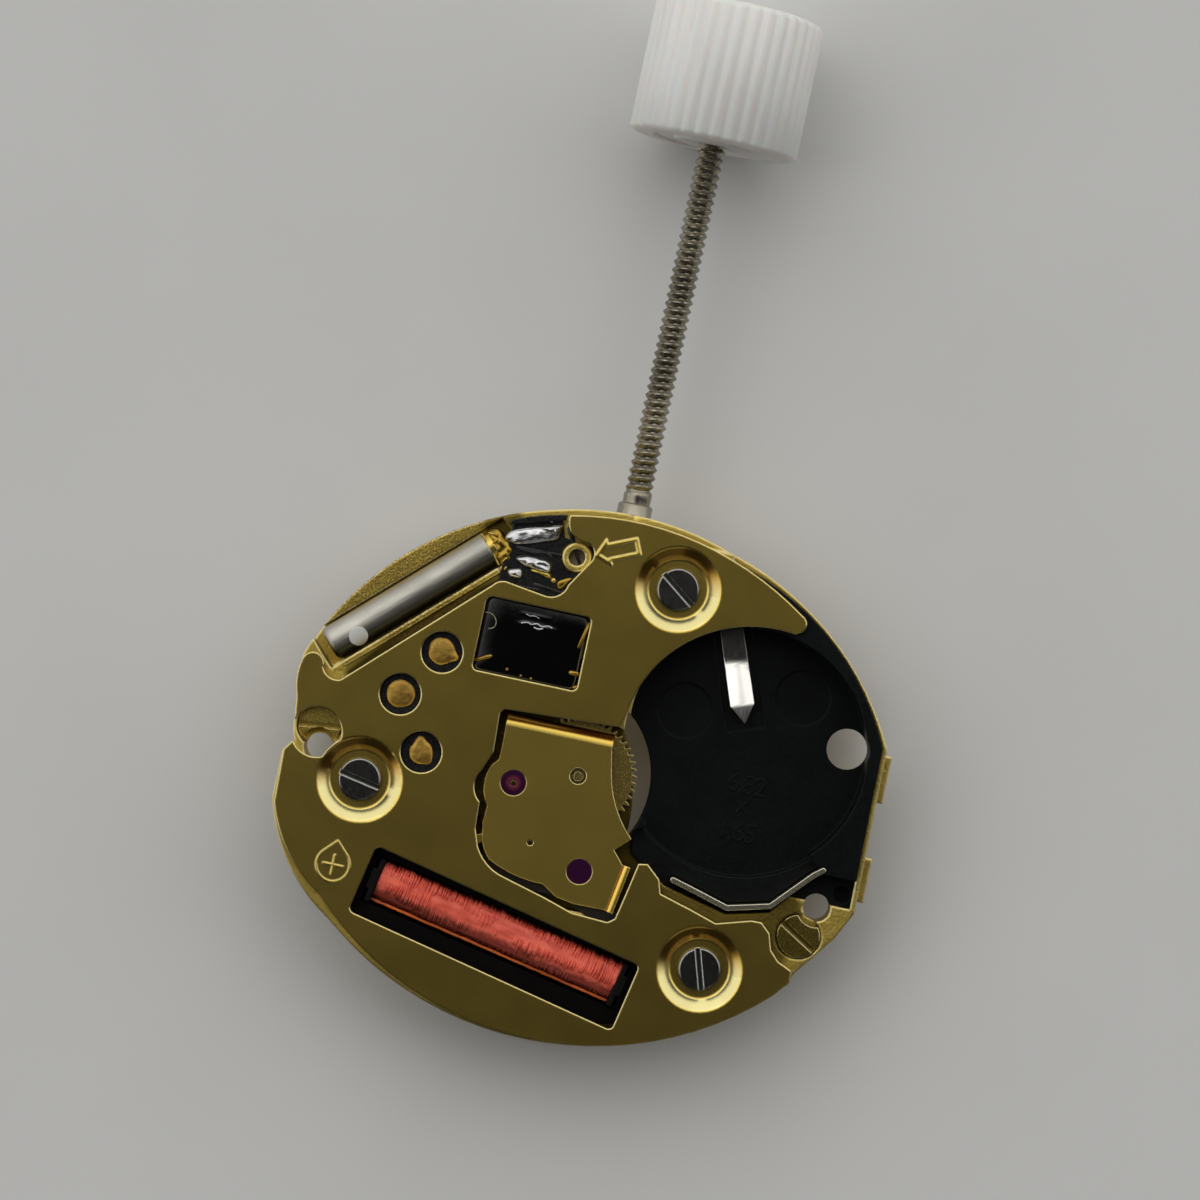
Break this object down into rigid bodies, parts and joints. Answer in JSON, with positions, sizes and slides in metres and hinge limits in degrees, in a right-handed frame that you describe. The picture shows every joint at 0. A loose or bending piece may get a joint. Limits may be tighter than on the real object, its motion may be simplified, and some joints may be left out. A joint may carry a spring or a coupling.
{
  "type": "quartz watch movement",
  "caption": "Round-sided flat quartz watch movement with an empty cell bay, red coil, quartz can, jewelled train bridge and a threaded winding stem with a ribbed knob.",
  "frame": {"origin": "on the hand axis, in the plane of the dial seat", "axes": "+X along the movement's long side, +Y out along the winding stem, +Z from the dial side to the battery side"},
  "size_m": [0.0172, 0.0302, 0.0049],
  "materials": {
    "gilt": "satin gilt",
    "liner": "moulded, satin",
    "contact": "polished gilt spring",
    "dark_steel": "blued grey, polished",
    "jewel": "polished ruby",
    "brass": "turned",
    "steel": "turned steel",
    "clear_plastic": "translucent white",
    "soft_iron": "annealed",
    "bobbin": "moulded",
    "wire_enamel": "red enamelled wire",
    "board": "black lacquer",
    "epoxy": "glossy black resin",
    "copper": "bare copper",
    "solder": "tinned",
    "nickel": "satin nickel"
  },
  "bodies": {
    "movement": {"main_plate": "gilt", "cell_liner": "liner", "negative_contact": "contact", "positive_strap": "contact", "cover_plate": "gilt", "cover_screws": "dark_steel", "keeper_plate": "gilt", "keeper_screws": "dark_steel", "train_bridge": "gilt", "train_jewels": "jewel", "centre_bush": "brass", "lever_spring": "steel", "stator": "soft_iron", "coil_core": "soft_iron", "coil_bobbin": "bobbin", "coil_winding": "wire_enamel", "circuit_board": "board", "ic_cap": "epoxy", "test_pads": "copper", "solder_joints": "solder", "quartz_can": "nickel", "quartz_header": "brass"},
    "rotor": {"rotor_magnet": "dark_steel", "rotor_pinion": "steel"},
    "intermediate": {"intermediate_wheel": "brass"},
    "third": {"third_wheel": "brass"},
    "centre": {"centre_wheel": "brass", "cannon_pinion": "steel"},
    "minute": {"minute_wheel": "brass"},
    "hour": {"hour_wheel": "brass"},
    "setting": {"setting_wheel": "steel"},
    "yoke": {"yoke": "steel"},
    "clutch": {"clutch": "steel"},
    "stem": {"stem": "steel", "winding_knob": "clear_plastic"},
    "lever": {"setting_lever": "steel"},
    "dial_screw_left": {"dial_screw_left": "dark_steel"},
    "dial_screw_right": {"dial_screw_right": "dark_steel"}
  },
  "joints": [
    {"name": "intermediate_turn", "type": "hinge", "parent": "movement", "child": "intermediate", "pos_m": [-0.00094, -0.00215, 0.001], "axis": [0, 0, 1], "continuous": true},
    {"name": "rotor_turn", "type": "hinge", "parent": "movement", "child": "rotor", "pos_m": [0.0006, -0.00267, 0.001], "axis": [0, 0, 1], "continuous": true},
    {"name": "third_turn", "type": "hinge", "parent": "movement", "child": "third", "pos_m": [-0.00177, -0.00058, 0.001], "axis": [0, 0, 1], "continuous": true},
    {"name": "centre_turn", "type": "hinge", "parent": "movement", "child": "centre", "pos_m": [0, 0, 0.001], "axis": [0, 0, 1], "continuous": true},
    {"name": "minute_turn", "type": "hinge", "parent": "movement", "child": "minute", "pos_m": [-0.00112, 0.00114, 0.0003], "axis": [0, 0, 1], "continuous": true},
    {"name": "hour_turn", "type": "hinge", "parent": "movement", "child": "hour", "pos_m": [0, 0, 0.0002], "axis": [0, 0, 1], "continuous": true},
    {"name": "setting_turn", "type": "hinge", "parent": "movement", "child": "setting", "pos_m": [0, 0.00279, 0.0004], "axis": [0, 0, 1], "continuous": true},
    {"name": "yoke_shift", "type": "slide", "parent": "movement", "child": "yoke", "axis": [0, -1, 0], "range_m": [0, 0.0003]},
    {"name": "stem_turn", "type": "hinge", "parent": "yoke", "child": "clutch", "pos_m": [0, 0, 0.0009], "axis": [0, 1, 0], "continuous": true},
    {"name": "stem_pull", "type": "slide", "parent": "clutch", "child": "stem", "axis": [0, 1, 0], "range_m": [0, 0.0012]},
    {"name": "lever_swing", "type": "hinge", "parent": "movement", "child": "lever", "pos_m": [-0.00235, 0.00605, 0.0003], "axis": [0, 0, 1], "range_deg": [0, 21.69]},
    {"name": "dial_screw_left_turn", "type": "hinge", "parent": "movement", "child": "dial_screw_left", "pos_m": [-0.00753, -0.00012, 0.001], "axis": [0, 0, 1], "range_deg": [0, 180]},
    {"name": "dial_screw_right_turn", "type": "hinge", "parent": "movement", "child": "dial_screw_right", "pos_m": [0.00712, -0.00319, 0.001], "axis": [0, 0, 1], "range_deg": [0, 180]}
  ],
  "couplings": [
    {"joint": "rotor_turn", "follows": "intermediate_turn", "ratio": -5.25},
    {"joint": "third_turn", "follows": "intermediate_turn", "ratio": -0.25},
    {"joint": "centre_turn", "follows": "intermediate_turn", "ratio": 0.035},
    {"joint": "minute_turn", "follows": "intermediate_turn", "ratio": -0.011667},
    {"joint": "hour_turn", "follows": "intermediate_turn", "ratio": 0.0029167},
    {"joint": "setting_turn", "follows": "intermediate_turn", "ratio": 0.0175},
    {"joint": "yoke_shift", "follows": "stem_pull", "ratio": 0.25},
    {"joint": "lever_swing", "follows": "stem_pull", "rad_per_m": 314.74}
  ]
}
